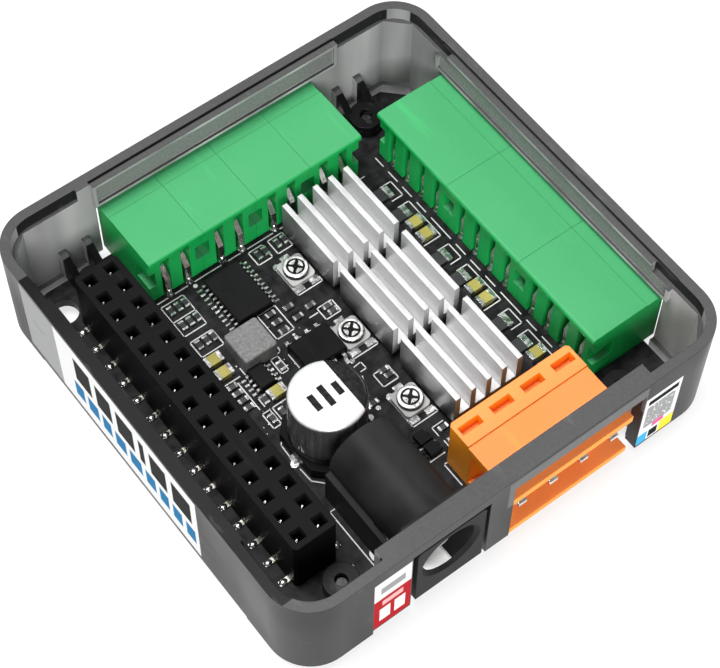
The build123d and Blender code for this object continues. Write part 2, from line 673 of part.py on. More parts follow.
# ---------------------------------------------------------------- chips with gull-wing leads
def build_chip(name, lead_name, centre, body, height, along, count, pitch, reach, lead_w):
    """Moulded chip with two rows of leads; `along` is the axis that the rows run along."""
    x, y = centre
    w, d = body
    stand = 0.1
    rows = {"Y": (1, 0, 0), "X": (0, 1, 0)}[along]
    half = (w if along == "Y" else d) / 2
    with BuildPart() as chip:
        span(
            (x - w / 2, y - d / 2, BOARD_TOP + stand),
            (x + w / 2, y + d / 2, BOARD_TOP + stand + height),
        )
        chamfer(chip.faces().sort_by(Axis.Z)[-1].edges(), 0.12)
    save(chip, name)

    shoulder = stand + height * 0.5
    t = 0.15
    with BuildPart() as leads:
        for sign in (-1, 1):
            out = Vector(*rows) * sign
            side = Vector(0, 0, 1).cross(out) * -1
            for k in tips(0, count, pitch):
                start = Vector(x, y, BOARD_TOP) + out * half + side * (k - lead_w / 2)
                with BuildSketch(Plane(origin=start, x_dir=out, z_dir=side)):
                    with BuildLine():
                        Polyline(
                            (0, shoulder),
                            (reach * 0.35, shoulder),
                            (reach * 0.5, t),
                            (reach, t),
                            (reach, 0),
                            (reach * 0.35, 0),
                            (reach * 0.25, shoulder - t),
                            (0, shoulder - t),
                            close=True,
                        )
                    make_face()
                extrude(amount=lead_w)
    save(leads, lead_name)


def build_chips():
    build_chip("controller_chip", "controller_leads", (-6.6, 11.7), (4.4, 6.5), 1.0, "Y", 10, 0.65, 1.0, 0.24)
    build_chip("transceiver_chip", "transceiver_leads", (-4.07, 1.05), (4.9, 3.9), 1.45, "X", 4, 1.27, 1.05, 0.42)
    build_chip("regulator_chip", "regulator_leads", (-10.65, 1.9), (1.9, 2.6), 1.0, "Y", 4, 0.65, 0.85, 0.28)


def build_inductor():
    x, y = (-9.45, 5.4)
    half = 2.05
    rise = BOARD_TOP + 0.15
    with BuildPart() as body:
        with BuildSketch(Plane.XY.offset(rise)):
            with Locations((x, y)):
                RectangleRounded(2 * half, 2 * half, 0.35)
        extrude(amount=2.3)
        chamfer(body.faces().sort_by(Axis.Z)[-1].edges(), 0.12)
    save(body, "inductor_body")
    with BuildPart() as terminals:
        for sign in (-1, 1):
            y0 = y + sign * 1.3
            span((x - 1.5, y0 - 0.7, BOARD_TOP), (x + 1.5, y0 + 0.7, rise))
    save(terminals, "inductor_terminals")


# ---------------------------------------------------------------- small surface-mounted parts
CERAMIC_SIZE = (2.0, 1.25, 0.85)
CERAMICS = [(-13.38, 6.6), (-13.38, 4.75), (-10.3, -0.35)]
CERAMICS += [(14.05, y + dy) for y in SINK_CENTRES for dy in (-3.0, -4.85)]
SENSE_SIZE = (3.1, 1.6, 0.55)
SENSES = [(12.95, y + dy) for y in SINK_CENTRES for dy in (2.05, -1.2)]
RESISTOR_SIZE = (1.15, 0.6, 0.4)
RESISTORS_ALONG_X = (
    [(-5.3, y) for y in (7.7, 6.5, 5.3)]
    + [(-13.6, y) for y in (2.95, 2.0, 1.0, 0.0)]
    + [(0.15, y - 5.5) for y in TRIMMER_CENTRES[:2]]
    + [(0.3, y - 6.25) for y in TRIMMER_CENTRES[:2]]
    + [(-3.25, 7.3), (-3.1, 5.7), (-1.25, 6.1), (-3.1, -7.3), (0.9, -13.8), (0.9, -15.4)]
)
RESISTORS_ALONG_Y = (
    [(x, y) for x in (-13.45, -12.5, -11.6) for y in (14.3, 12.1, 9.15)]
    + [(x, 14.5) for x in (-1.95, -1.0, 0.6, 1.5)]
    + [(-8.1, 2.0), (-11.75, -0.25), (-11.1, -2.5), (-12.4, -2.5)]
)


def chip_body(place, size, along_y=False):
    """Middle block of a two-ended chip, without its end caps."""
    x, y = place
    length, width, height = size
    cap = length * 0.22
    a = length / 2 - cap
    b = width / 2
    if along_y:
        a, b = b, a
    span((x - a, y - b, BOARD_TOP), (x + a, y + b, BOARD_TOP + height * 0.96))


def chip_caps(place, size, along_y=False):
    """Metal end caps of a two-ended chip."""
    x, y = place
    length, width, height = size
    cap = length * 0.22
    for sign in (-1, 1):
        near = sign * (length / 2 - cap)
        far = sign * length / 2
        low = min(near, far)
        high = max(near, far)
        if along_y:
            span((x - width / 2, y + low, BOARD_TOP), (x + width / 2, y + high, BOARD_TOP + height))
        else:
            span((x + low, y - width / 2, BOARD_TOP), (x + high, y + width / 2, BOARD_TOP + height))


def build_small_parts():
    with BuildPart() as ceramics:
        for place in CERAMICS:
            chip_body(place, CERAMIC_SIZE)
    save(ceramics, "ceramic_capacitors")
    with BuildPart() as senses:
        for place in SENSES:
            chip_body(place, SENSE_SIZE)
    save(senses, "sense_resistors")
    with BuildPart() as resistors:
        for place in RESISTORS_ALONG_X:
            chip_body(place, RESISTOR_SIZE)
        for place in RESISTORS_ALONG_Y:
            chip_body(place, RESISTOR_SIZE, along_y=True)
    save(resistors, "chip_resistors")
    with BuildPart() as caps:
        for place in CERAMICS:
            chip_caps(place, CERAMIC_SIZE)
        for place in SENSES:
            chip_caps(place, SENSE_SIZE)
        for place in RESISTORS_ALONG_X:
            chip_caps(place, RESISTOR_SIZE)
        for place in RESISTORS_ALONG_Y:
            chip_caps(place, RESISTOR_SIZE, along_y=True)
    save(caps, "chip_end_caps")


def build_transistors():
    """Two small moulded transistors beside the power header."""
    with BuildPart() as transistors:
        for x, y in ((-1.75, -13.65), (-1.65, -15.25)):
            span((x - 0.65, y - 0.7, BOARD_TOP + 0.05), (x + 0.65, y + 0.7, BOARD_TOP + 0.95))
            for side in (-1, 1):
                near = x + side * 0.65
                far = x + side * 1.1
                for dy in (-0.45, 0.15):
                    low = (min(near, far), y + dy, BOARD_TOP)
                    span(low, (max(near, far), y + dy + 0.3, BOARD_TOP + 0.25))
    save(transistors, "small_transistors")


build_frame()
build_labels()
build_screws()
build_board()
build_socket()
build_signal_headers()
build_power_header()
build_jack()
build_channels()
build_trimmers()
build_capacitor()
build_chips()
build_inductor()
build_small_parts()
build_transistors()
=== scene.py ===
"""Looks for the stepper driver module: materials, board printing, solder, light and camera.

Lists of places are in millimetres in the shared frame: x and y as on the board, +Z up.
"""
import json
import math
import random

import bmesh
import bpy
from mathutils import Matrix, Vector


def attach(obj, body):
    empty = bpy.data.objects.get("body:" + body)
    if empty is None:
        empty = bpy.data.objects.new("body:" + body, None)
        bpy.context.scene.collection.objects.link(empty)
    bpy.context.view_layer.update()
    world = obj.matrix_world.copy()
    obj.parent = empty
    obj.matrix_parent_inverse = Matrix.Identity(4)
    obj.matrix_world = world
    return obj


MM = 0.001
BOARD_TOP = 2.5
INK_HEIGHT = 0.02
INK_WIDTH = 0.13
PAD_HEIGHT = 0.035
PITCH = 2.54

IO_CENTRES = (-10.96, -4.08, 2.80, 9.68)
IO_PIN_OFFSETS = (-1.27, 1.27)
IO_PIN_Y = 16.7
IO_LINE_Y = 16.0
MOTOR_CENTRES = (11.56, -0.4, -12.36)
MOTOR_PIN_OFFSETS = (-3.81, -1.27, 1.27, 3.81)
MOTOR_PIN_X = 17.5
MOTOR_LINE_X = 16.03
SOCKET_ROWS = 15
SOCKET_LEAD_X = (-22.25, -15.8)
SOCKET_COLUMNS = (-20.32, -17.78)
TIP_OUTLINE = ((-0.34, -0.28), (-0.2, -0.28), (-0.16, -0.08), (-0.34, -0.08))
TIP_LOW = 10.15
TIP_TOP = 10.5
JACK_X = -8.9
JACK_AXIS = 8.5
LINING_R = 3.1
LINING_THICKNESS = 0.12
LINING_RINGS = (-26.6, -25.4, -24.2, -23.4)
LINING_FROM = 196
LINING_SWEEP = 84
LINING_STEPS = 14
WALL_SKIN = 25.53  # faces of the frame nearer to the middle than this are its inner ones
# Boxes of the frame for frame_look: the panels and the power beam are painted paler as painted light, the left
# rim is painted near black as painted shade, and the bosses are set near black.
BACK_PANEL = {"X": (-14.4, 16.0), "Y": (25.0, 25.4), "Z": (11.4, 14.0)}
RIGHT_PANEL = {"X": (25.0, 25.4), "Y": (-18.9, 17.9), "Z": (11.4, 14.0)}
POWER_BEAM = {"X": (-2.0, 15.6), "Y": (-27.5, -26.6), "Z": (9.0, 14.0)}
LEFT_RIM = {"X": (-27.5, -24.0), "Y": (-24.0, 20.0)}
BOSSES = {"X": (-20.4, 20.4), "Y": (-24.6, 24.6), "Z": (2.0, 6.6)}
SINK_CENTRES = (10.6, 0.35, -9.9)
# Outer side face of the sinks, which gets a painted shade, darker towards the bottom.
SINK_SIDE = 1.77
TRIMMER_CENTRES = (10.44, 0.68, -9.4)
CAP_CENTRE = (-9.1, -7.5)
CAP_TOP = 11.4


# ---------------------------------------------------------------- materials
class Look:
    """One procedural material: a Principled shader and the patterns that drive it."""

    def __init__(self, name, roughness, **sockets):
        self.material = bpy.data.materials.new(name)
        self.material.use_nodes = True
        self.tree = self.material.node_tree
        self.shader = self.tree.nodes["Principled BSDF"]
        self.shader.inputs["Roughness"].default_value = roughness
        for socket, value in sockets.items():
            self.shader.inputs[socket.replace("_", " ")].default_value = value
        self.place = self.node("TexCoord").outputs["Object"]

    def node(self, kind, **values):
        made = self.tree.nodes.new("ShaderNode" + kind)
        for key, value in values.items():
            setattr(made, key, value)
        return made

    def feed(self, socket, source):
        if hasattr(source, "is_linked"):
            self.tree.links.new(source, socket)
        else:
            socket.default_value = source

    def stretched(self, scale):
        mapping = self.node("Mapping")
        mapping.inputs["Scale"].default_value = scale
        self.feed(mapping.inputs["Vector"], self.place)
        return mapping.outputs["Vector"]

    def noise(self, size_mm, stretch=(1, 1, 1), detail=4.0):
        made = self.node("TexNoise")
        made.inputs["Scale"].default_value = 1 / (size_mm * MM)
        made.inputs["Detail"].default_value = detail
        self.feed(made.inputs["Vector"], self.stretched(stretch))
        return made.outputs["Fac"]

    def scratches(self, size_mm, stretch):
        """Thin marks where two noises cross, from 0 to 1."""
        return self.span(self.noise(size_mm, stretch, 8.0), 0.62, 0.72, 0.0, 1.0)

    def span(self, source, low, high, to_low, to_high):
        made = self.node("MapRange")
        self.feed(made.inputs["Value"], source)
        ends = {"From Min": low, "From Max": high, "To Min": to_low, "To Max": to_high}
        for socket, value in ends.items():
            made.inputs[socket].default_value = value
        return made.outputs["Result"]

    def math(self, operation, first, second=0.0, third=0.0):
        made = self.node("Math", operation=operation)
        for socket, value in zip(made.inputs, (first, second, third)):
            self.feed(socket, value)
        return made.outputs["Value"]

    def mix(self, amount, first, second):
        made = self.node("Mix", data_type="RGBA")
        for socket, value in ((made.inputs[0], amount), (made.inputs[6], first), (made.inputs[7], second)):
            self.feed(socket, (*value, 1.0) if isinstance(value, tuple) else value)
        return made.outputs[2]

    def axis(self, name):
        parts = self.node("SeparateXYZ")
        self.feed(parts.inputs["Vector"], self.place)
        return parts.outputs[name]

    def facing_up(self):
        """1 on faces that look up, 0 on upright ones."""
        parts = self.node("SeparateXYZ")
        self.feed(parts.inputs["Vector"], self.node("NewGeometry").outputs["True Normal"])
        return self.span(parts.outputs["Z"], 0.3, 0.8, 0.0, 1.0)

    def inside(self, **ranges):
        """1 inside the given ranges of X, Y or Z, in millimetres."""
        amount = 1.0
        for name, (low, high) in ranges.items():
            middle = (low + high) / 2 * MM
            band = self.math("COMPARE", self.axis(name), middle, (high - low) / 2 * MM)
            amount = self.math("MULTIPLY", band, amount)
        return amount

    def colour(self, source):
        self.feed(self.shader.inputs["Base Color"], source)

    def roughness(self, source, low, high):
        self.feed(self.shader.inputs["Roughness"], self.span(source, 0.3, 0.7, low, high))

    def relief(self, height, depth_mm, strength=1.0, edge_mm=0.0):
        """Bump from a pattern, over edges that are softened by the given radius."""
        bump = self.node("Bump")
        bump.inputs["Strength"].default_value = strength
        bump.inputs["Distance"].default_value = depth_mm * MM
        self.feed(bump.inputs["Height"], height)
        if edge_mm:
            soft = self.node("Bevel", samples=4)
            soft.inputs["Radius"].default_value = edge_mm * MM
            self.feed(bump.inputs["Normal"], soft.outputs["Normal"])
        self.feed(self.shader.inputs["Normal"], bump.outputs["Normal"])


def moulded(name, dark, light, roughness=0.45, grain_mm=0.25, edge_mm=0.12, top=None, **sockets):
    """Moulded plastic: fine grain, cloudy tone, a few rubbed marks and, where given, a paler top painted on
    upward faces as painted sheen.
    """
    look = Look(name, roughness, **sockets)
    cloud = look.noise(6.0, detail=3.0)
    grain = look.noise(grain_mm, detail=2.0)
    base = look.mix(look.span(cloud, 0.3, 0.7, 0.0, 1.0), dark, light)
    # Painted sheen: upward faces get the given top colour, mottled by the grain.
    if top:
        mottle_and_sheen = look.mix(look.span(grain, 0.3, 0.7, 0.0, 1.0), top, tuple(c * 1.06 for c in top))
        base = look.mix(look.facing_up(), base, mottle_and_sheen)
    rubbed = look.math("MULTIPLY", look.scratches(1.8, (1.0, 0.15, 0.4)), 0.12)
    look.colour(look.mix(rubbed, base, tuple(min(1.0, c * 1.6 + 0.03) for c in light)))
    look.roughness(cloud, roughness - 0.07, roughness + 0.07)
    look.relief(grain, 0.02, 0.35, edge_mm)
    return look


def metal(name, dark, light, roughness=0.3, streak=(1.0, 1.0, 1.0), edge_mm=0.05):
    """Plated or drawn metal: streaks along the working direction and small dents."""
    look = Look(name, roughness, Metallic=1.0)
    streaks = look.noise(0.8, streak, 6.0)
    look.colour(look.mix(look.span(streaks, 0.3, 0.7, 0.0, 1.0), dark, light))
    look.roughness(look.noise(0.5, streak, 3.0), roughness - 0.1, roughness + 0.1)
    look.relief(streaks, 0.02, 0.3, edge_mm)
    return look


def frame_look():
    """Smoked plastic: walls let light through, so they look paler than the rim and the bosses; that light is
    painted into the colour, as painted light on the inner faces, the back and right panels and the power beam,
    and as painted shade on the left rim.
    """
    look = Look("frame_plastic", 0.42, Specular_IOR_Level=0.16)
    cloud = look.span(look.noise(14.0, (1.0, 1.0, 0.5), 2.0), 0.3, 0.7, 0.0, 1.0)
    grain = look.noise(0.3, detail=2.0)
    flow = look.span(look.noise(5.0, (1.0, 1.0, 0.12), 2.0), 0.35, 0.65, 0.0, 1.0)
    outer = look.mix(cloud, (0.012, 0.012, 0.0125), (0.022, 0.022, 0.0225))
    # Painted light: inner faces are painted much paler than outer ones, standing in for light through the
    # smoked walls and light bounced inside.
    inner = look.mix(flow, (0.24, 0.24, 0.241), (0.48, 0.48, 0.481))
    within = (-WALL_SKIN, WALL_SKIN)
    wall = look.mix(look.inside(X=within, Y=within), outer, inner)
    # Painted light: the back and right panels are painted paler where the headers shade them, and the power
    # beam is painted paler as a painted reflection.
    beams = look.math("MAXIMUM", look.inside(**BACK_PANEL), look.inside(**RIGHT_PANEL))
    wall = look.mix(beams, wall, look.mix(grain, (0.12, 0.12, 0.121), (0.3, 0.3, 0.301)))
    wall = look.mix(look.inside(**POWER_BEAM), wall, look.mix(cloud, (0.07, 0.07, 0.071), (0.13, 0.13, 0.131)))
    # Painted light and shade on the rim: upward faces get a tone of their own, lighter than the outer walls,
    # and the left rim is painted near black as painted shade.
    rim = look.mix(grain, (0.045, 0.045, 0.0455), (0.065, 0.065, 0.0655))
    rim = look.mix(look.inside(**LEFT_RIM), rim, (0.004, 0.004, 0.0042))
    base = look.mix(look.facing_up(), wall, rim)
    base = look.mix(look.inside(**BOSSES), base, (0.003, 0.003, 0.003))
    rubbed = look.math("MULTIPLY", look.scratches(1.6, (1.0, 0.3, 1.0)), 0.12)
    look.colour(look.mix(rubbed, base, (0.26, 0.26, 0.26)))
    look.roughness(cloud, 0.32, 0.46)
    look.relief(grain, 0.02, 0.3, 0.14)
    return look


def board_look():
    """Black solder mask over faint tracks, with the pale glass edge of the laminate."""
    look = Look("board", 0.42, Specular_IOR_Level=0.12)
    tracks = look.node("TexBrick")
    tracks.inputs["Scale"].default_value = 1 / MM
    tracks.inputs["Mortar Size"].default_value = 0.035
    tracks.inputs["Brick Width"].default_value = 2.7
    tracks.inputs["Row Height"].default_value = 0.85
    look.feed(tracks.inputs["Vector"], look.place)
    cloud = look.noise(1.3, (1.0, 1.0, 1.0), 5.0)
    mask = look.mix(look.span(cloud, 0.35, 0.65, 0.0, 1.0), (0.004, 0.004, 0.0045), (0.0125, 0.0125, 0.013))
    line = look.math("MULTIPLY", tracks.outputs["Fac"], look.span(cloud, 0.45, 0.6, 0.0, 0.45))
    base = look.mix(line, mask, (0.03, 0.03, 0.031))
    laminate = look.mix(look.noise(0.4, (1.0, 1.0, 6.0), 3.0), (0.05, 0.045, 0.03), (0.12, 0.11, 0.08))
    edge = look.inside(X=(-24.25, 24.25), Y=(-24.25, 24.25))
    look.colour(look.mix(edge, laminate, base))
    look.roughness(cloud, 0.3, 0.5)
    look.relief(look.math("ADD", tracks.outputs["Fac"], look.noise(0.3)), 0.02, 0.35)
    return look


def sink_look():
    """Extruded aluminium: lines along the fins, rough sawn ends and a satin mottle, with painted shade low
    down and on the outer side face and a painted tone on the tops.
    """
    look = Look("sink_aluminium", 0.42, Metallic=0.55, Specular_IOR_Level=0.5)
    lines = look.noise(0.35, (1.0, 0.03, 1.0), 6.0)
    mottle_and_sheen = look.noise(2.6, (1.0, 0.7, 1.0), 5.0)
    base = look.mix(look.span(mottle_and_sheen, 0.3, 0.7, 0.0, 1.0), (0.68, 0.68, 0.69), (0.88, 0.88, 0.88))
    # Painted shade: the fins are painted nearly black towards the bottom, where the gaps between them are
    # shaded.
    painted_shade_ramp = look.span(look.axis("Z"), 3.4 * MM, 5.4 * MM, 0.0, 1.0)
    base = look.mix(look.math("MULTIPLY", mottle_and_sheen, 0.35), base, (0.25, 0.25, 0.255))
    base = look.mix(painted_shade_ramp, (0.06, 0.06, 0.061), base)
    # Painted light: upward faces get a flat tone of their own, apart from the sides.
    base = look.mix(look.facing_up(), base, (0.52, 0.52, 0.525))
    # Painted shade: the outer side face is painted darker towards the bottom, with a mottle.
    side_shade_ramp = look.span(look.axis("Z"), 4.0 * MM, 8.1 * MM, 0.0, 1.0)
    painted_side_shade = look.mix(look.math("MULTIPLY", side_shade_ramp, mottle_and_sheen), (0.02, 0.02, 0.021), (0.62, 0.62, 0.625))
    base = look.mix(look.inside(X=(SINK_SIDE - 0.1, SINK_SIDE + 0.03)), base, painted_side_shade)
    worn = look.math("MULTIPLY", look.scratches(0.7, (1.0, 0.2, 1.0)), 0.3)
    look.colour(look.mix(worn, base, (0.3, 0.3, 0.31)))
    look.roughness(mottle_and_sheen, 0.32, 0.52)
    look.relief(lines, 0.02, 0.45, 0.08)
    return look


def rotor_look():
    """Bright trimmer rotor, painted near black below 3.66 mm as painted shade in its grooves and round its
    sides.
    """
    look = metal("trimmer_metal", (0.6, 0.6, 0.59), (0.92, 0.92, 0.91), 0.34)
    shade = look.mix(look.noise(0.2), (0.66, 0.66, 0.65), (0.92, 0.92, 0.91))
    # Painted shade: the grooves and the lower sides are painted near black.
    look.colour(look.mix(look.inside(Z=(3.0, 3.66)), shade, (0.02, 0.02, 0.02)))
    return look


def can_look():
    """Drawn can: bright sleeve, white top with a dark mark and plain bars for its rating."""
    look = Look("can_aluminium", 0.24, Metallic=0.5)
    x, y = CAP_CENTRE
    drawn = look.noise(0.5, (1.0, 1.0, 0.05), 5.0)
    side = look.mix(drawn, (0.03, 0.03, 0.031), (0.16, 0.16, 0.165))
    top = look.mix(look.noise(0.5, (0.1, 1.0, 1.0), 4.0), (0.76, 0.76, 0.77), (0.86, 0.86, 0.86))
    dark = look.inside(X=(x + 2.0, x + 5))
    for low, high, width in ((-1.9, -1.2, 2.0), (-0.5, 0.2, 2.6), (0.9, 1.6, 1.6)):
        bar = look.inside(X=(x + low, x + high), Y=(y - width / 2, y + width / 2))
        dark = look.math("MAXIMUM", dark, bar)
    speck = look.mix(look.noise(0.3), (0.006, 0.006, 0.0065), (0.02, 0.02, 0.021))
    lid = look.mix(dark, top, speck)
    up = look.math("MULTIPLY", look.facing_up(), look.inside(Z=(CAP_TOP - 0.3, CAP_TOP + 1)))
    look.colour(look.mix(up, side, lid))
    look.roughness(drawn, 0.16, 0.34)
    look.relief(drawn, 0.004, 0.15)
    return look


def paper(look, shade):
    """Slightly mottled printed film."""
    return look.mix(look.noise(0.6, detail=3.0), tuple(c * 0.9 for c in shade), shade)


def printed(look, base, marks):
    """Blocks of ink over a base; each mark is its ranges and its colour."""
    for ranges, shade in marks:
        base = look.mix(look.inside(**ranges), base, paper(look, shade))
    look.colour(base)
    look.relief(look.noise(0.8), 0.01, 0.2, 0.05)
    return look


WHITE_INK = (0.82, 0.83, 0.82)
BLACK_INK = (0.004, 0.004, 0.0045)
BLUE_INK = (0.003, 0.17, 0.38)
RED_INK = (0.42, 0.006, 0.012)
GREY_INK = (0.30, 0.31, 0.31)


def side_label_look():
    """Long white sticker: a grey end, black blocks in a row and blue ones below them."""
    look = Look("side_label_film", 0.55, Specular_IOR_Level=0.04)
    marks = [({"Y": (14.0, 21.0)}, (0.36, 0.365, 0.365))]
    marks.append(({"Y": (16.4, 18.6), "Z": (8.4, 9.0)}, GREY_INK))
    y = -9.6
    for width in (3.2, 2.8, 0.9, 3.0, 2.7, 2.9):
        marks.append(({"Y": (y, y + width), "Z": (8.0, 12.2)}, BLACK_INK))
        y += width + 0.95
    y = -10.0
    for width in (1.6, 1.6, 1.6, 1.7, 2.1, 1.9, 1.6, 1.9, 1.7):
        marks.append(({"Y": (y, y + width), "Z": (4.2, 6.9)}, BLUE_INK))
        y += width + 0.7
    return printed(look, paper(look, WHITE_INK), marks)


def input_label_look():
    """Small sticker, pale above and red below, with plain bars and blocks."""
    look = Look("input_label_film", 0.55, Specular_IOR_Level=0.04)
    marks = [({"Z": (0.0, 8.6)}, RED_INK)]
    marks.append(({"X": (-17.4, -14.5), "Z": (9.7, 11.0)}, GREY_INK))
    marks.append(({"X": (-17.2, -14.7), "Z": (6.9, 7.9)}, (0.75, 0.42, 0.42)))
    marks.append(({"X": (-17.5, -16.2), "Z": (3.5, 6.2)}, WHITE_INK))
    marks.append(({"X": (-15.7, -14.4), "Z": (3.5, 6.2)}, WHITE_INK))
    return printed(look, paper(look, (0.74, 0.75, 0.74)), marks)


def spec_label_look():
    """Corner sticker: a speckled square between a dark bar and blocks of colour."""
    look = Look("spec_label_film", 0.55, Specular_IOR_Level=0.04)
    speckle = look.node("TexVoronoi", distance="MANHATTAN")
    speckle.inputs["Scale"].default_value = 1 / (0.42 * MM)
    look.feed(speckle.inputs["Vector"], look.place)
    dots = look.math("MULTIPLY", look.inside(X=(16.1, 19.9), Z=(4.8, 9.2)),
                     look.span(speckle.outputs["Distance"], 0.35, 0.55, 0.0, 1.0))
    base = look.mix(dots, paper(look, WHITE_INK), GREY_INK)
    marks = [({"X": (16.1, 20.1), "Z": (9.6, 10.5)}, BLACK_INK)]
    marks.append(({"X": (17.4, 19.0), "Z": (4.0, 4.9)}, (0.85, 0.12, 0.32)))
    marks.append(({"X": (18.6, 20.5), "Z": (1.6, 3.9)}, (0.95, 0.75, 0.05)))
    marks.append(({"X": (15.65, 17.0), "Z": (1.6, 3.6)}, (0.05, 0.45, 0.85)))
    marks.append(({"X": (17.2, 18.4), "Z": (1.9, 3.4)}, BLACK_INK))
    return printed(look, base, marks)


def ferrite_look():
    """Resin-coated block with plain bars where its value would be."""
    look = Look("ferrite", 0.5)
    grain = look.noise(0.35, detail=5.0)
    base = look.mix(look.span(grain, 0.35, 0.65, 0.0, 1.0), (0.075, 0.075, 0.074), (0.13, 0.13, 0.128))
    for low in (-10.3, -9.65, -9.0):
        bar = look.inside(X=(low, low + 0.3), Y=(4.6, 6.2))
        base = look.mix(look.math("MULTIPLY", bar, 0.75), base, (0.10, 0.10, 0.10))
    look.colour(base)
    look.relief(grain, 0.03, 0.4, 0.08)
    return look


def make_looks():
    """Every material slot's material, by slot name."""
    satin = {"Specular_IOR_Level": 0.2}
    dull = {"Specular_IOR_Level": 0.08}
    looks = {
        "frame_plastic": frame_look(),
        "board": board_look(),
        "black_plastic": moulded("black_plastic", (0.0015, 0.0015, 0.0018), (0.004, 0.004, 0.0043), 0.6,
                                 **dull),
        # Painted sheen: the green and orange headers get a top colour of their own on upward faces, less
        # saturated than their sides.
        "green_plastic": moulded("green_plastic", (0.006, 0.34, 0.07), (0.01, 0.39, 0.085), 0.42,
                                 top=(0.042, 0.245, 0.095), **satin),
        "orange_plastic": moulded("orange_plastic", (0.88, 0.29, 0.01), (0.94, 0.32, 0.014), 0.4,
                                  top=(0.80, 0.225, 0.06), **satin),
        "jack_plastic": moulded("jack_plastic", (0.009, 0.009, 0.0095), (0.019, 0.019, 0.0195), 0.5,
                                0.35, **dull),
        "chip_resin": moulded("chip_resin", (0.002, 0.002, 0.0022), (0.006, 0.006, 0.0065), 0.5,
                              0.12, 0.04, **dull),
        "resistor_body": moulded("resistor_body", (0.012, 0.012, 0.014), (0.03, 0.03, 0.033), 0.3,
                                 0.1, 0.04),
        "ceramic": moulded("ceramic", (0.20, 0.175, 0.035), (0.34, 0.30, 0.07), 0.35, 0.1, 0.05),
        "trimmer_ceramic": moulded("trimmer_ceramic", (0.2, 0.2, 0.2), (0.36, 0.36, 0.35), 0.4, 0.15, 0.05),
        "thermal_pad": moulded("thermal_pad", (0.2, 0.21, 0.23), (0.3, 0.31, 0.34), 0.7),
        "gold_contact": metal("gold_contact", (0.6, 0.56, 0.48), (0.92, 0.88, 0.78), 0.25),
        "tinned_pin": metal("tinned_pin", (0.62, 0.61, 0.58), (0.92, 0.91, 0.88), 0.25,
                            (1.0, 1.0, 0.2)),
        "nickel_contact": metal("nickel_contact", (0.5, 0.49, 0.47), (0.8, 0.79, 0.76), 0.28),
        "solder_tin": metal("solder_tin", (0.55, 0.55, 0.55), (0.93, 0.93, 0.92), 0.26),
        "trimmer_metal": rotor_look(),
        "screw_steel": metal("screw_steel", (0.02, 0.02, 0.021), (0.09, 0.09, 0.092), 0.45),
        "sink_aluminium": sink_look(),
        "can_aluminium": can_look(),
        "ferrite": ferrite_look(),
    }
    return {slot: look.material for slot, look in looks.items()}


def dress_nodes(frame, looks):
    """Give each CAD node the look of its material slot; each sticker has its own print."""
    labels = {
        "side_label": side_label_look().material,
        "input_label": input_label_look().material,
        "spec_label": spec_label_look().material,
    }
    for part in frame["record"]["subparts"]:
        look = labels.get(part["node"]) or looks[part["material_slot"]]
        mesh = frame["nodes"][part["node"]].data
        mesh.materials.clear()
        mesh.materials.append(look)


# ---------------------------------------------------------------- mesh helpers
def piece(name, mesh, material):
    """Turn a finished bmesh, in millimetres, into an object that rides on the module."""
    data = bpy.data.meshes.new(name)
    bmesh.ops.scale(mesh, vec=(MM, MM, MM), verts=mesh.verts)
    bmesh.ops.recalc_face_normals(mesh, faces=mesh.faces)
    mesh.to_mesh(data)
    mesh.free()
    data.materials.append(material)
    made = bpy.data.objects.new(name, data)
    bpy.context.scene.collection.objects.link(made)
    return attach(made, "module")


def slab(mesh, corners, low, high):
    """Flat block from a loop of corners."""
    floor = [mesh.verts.new((x, y, low)) for x, y in corners]
    roof = [mesh.verts.new((x, y, high)) for x, y in corners]
    mesh.faces.new(floor)
    mesh.faces.new(roof)
    count = len(corners)
    for k in range(count):
        after = (k + 1) % count
        mesh.faces.new((floor[k], floor[after], roof[after], roof[k]))


def stroke(mesh, points, width=INK_WIDTH, height=INK_HEIGHT):
    """Printed line along straight runs, with square ends and closed corners."""
    for start, end in zip(points, points[1:]):
        a = Vector(start)
        b = Vector(end)
        along = (b - a).normalized() * width / 2
        side = Vector((-along.y, along.x))
        corners = (a - along - side, b + along - side, b + along + side, a - along + side)
        slab(mesh, corners, BOARD_TOP, BOARD_TOP + height)


def disc(mesh, centre, radius, low, high, sides=20):
    """Round flat block."""
    corners = []
    for k in range(sides):
        turn = math.tau * k / sides
        corners.append((centre[0] + radius * math.cos(turn), centre[1] + radius * math.sin(turn)))
    slab(mesh, corners, low, high)


def lathe(mesh, centre, profile, stretch=(1.0, 1.0), sides=16):
    """Turned shape on the board from (radius, height) pairs; the last pair is the tip."""
    rings = []
    for radius, height in profile[:-1]:
        ring = []
        for k in range(sides):
            turn = math.tau * k / sides
            x = centre[0] + radius * stretch[0] * math.cos(turn)
            y = centre[1] + radius * stretch[1] * math.sin(turn)
            ring.append(mesh.verts.new((x, y, BOARD_TOP + height)))
        rings.append(ring)
    tip = mesh.verts.new((centre[0], centre[1], BOARD_TOP + profile[-1][1]))
    mesh.faces.new(rings[0])
    for below, above in zip(rings, rings[1:]):
        for k in range(sides):
            after = (k + 1) % sides
            mesh.faces.new((below[k], below[after], above[after], above[k]))
    for k in range(sides):
        mesh.faces.new((rings[-1][k], rings[-1][(k + 1) % sides], tip))


def frame_points(x0, y0, x1, y1):
    """Closed rectangle, as the points of a stroke."""
    return [(x0, y0), (x1, y0), (x1, y1), (x0, y1), (x0, y0)]


# ---------------------------------------------------------------- board printing
def row_line(mesh, fixed, pins, start, end, along_x):
    """Long printed line that stops short of each pin."""
    gap = 0.5
    stops = sorted(pins)
    edges = [start] + [value for pin in stops for value in (pin - gap, pin + gap)] + [end]
    for low, high in zip(edges[::2], edges[1::2]):
        if high > low:
            run = [(low, fixed), (high, fixed)] if along_x else [(fixed, low), (fixed, high)]
            stroke(mesh, run)


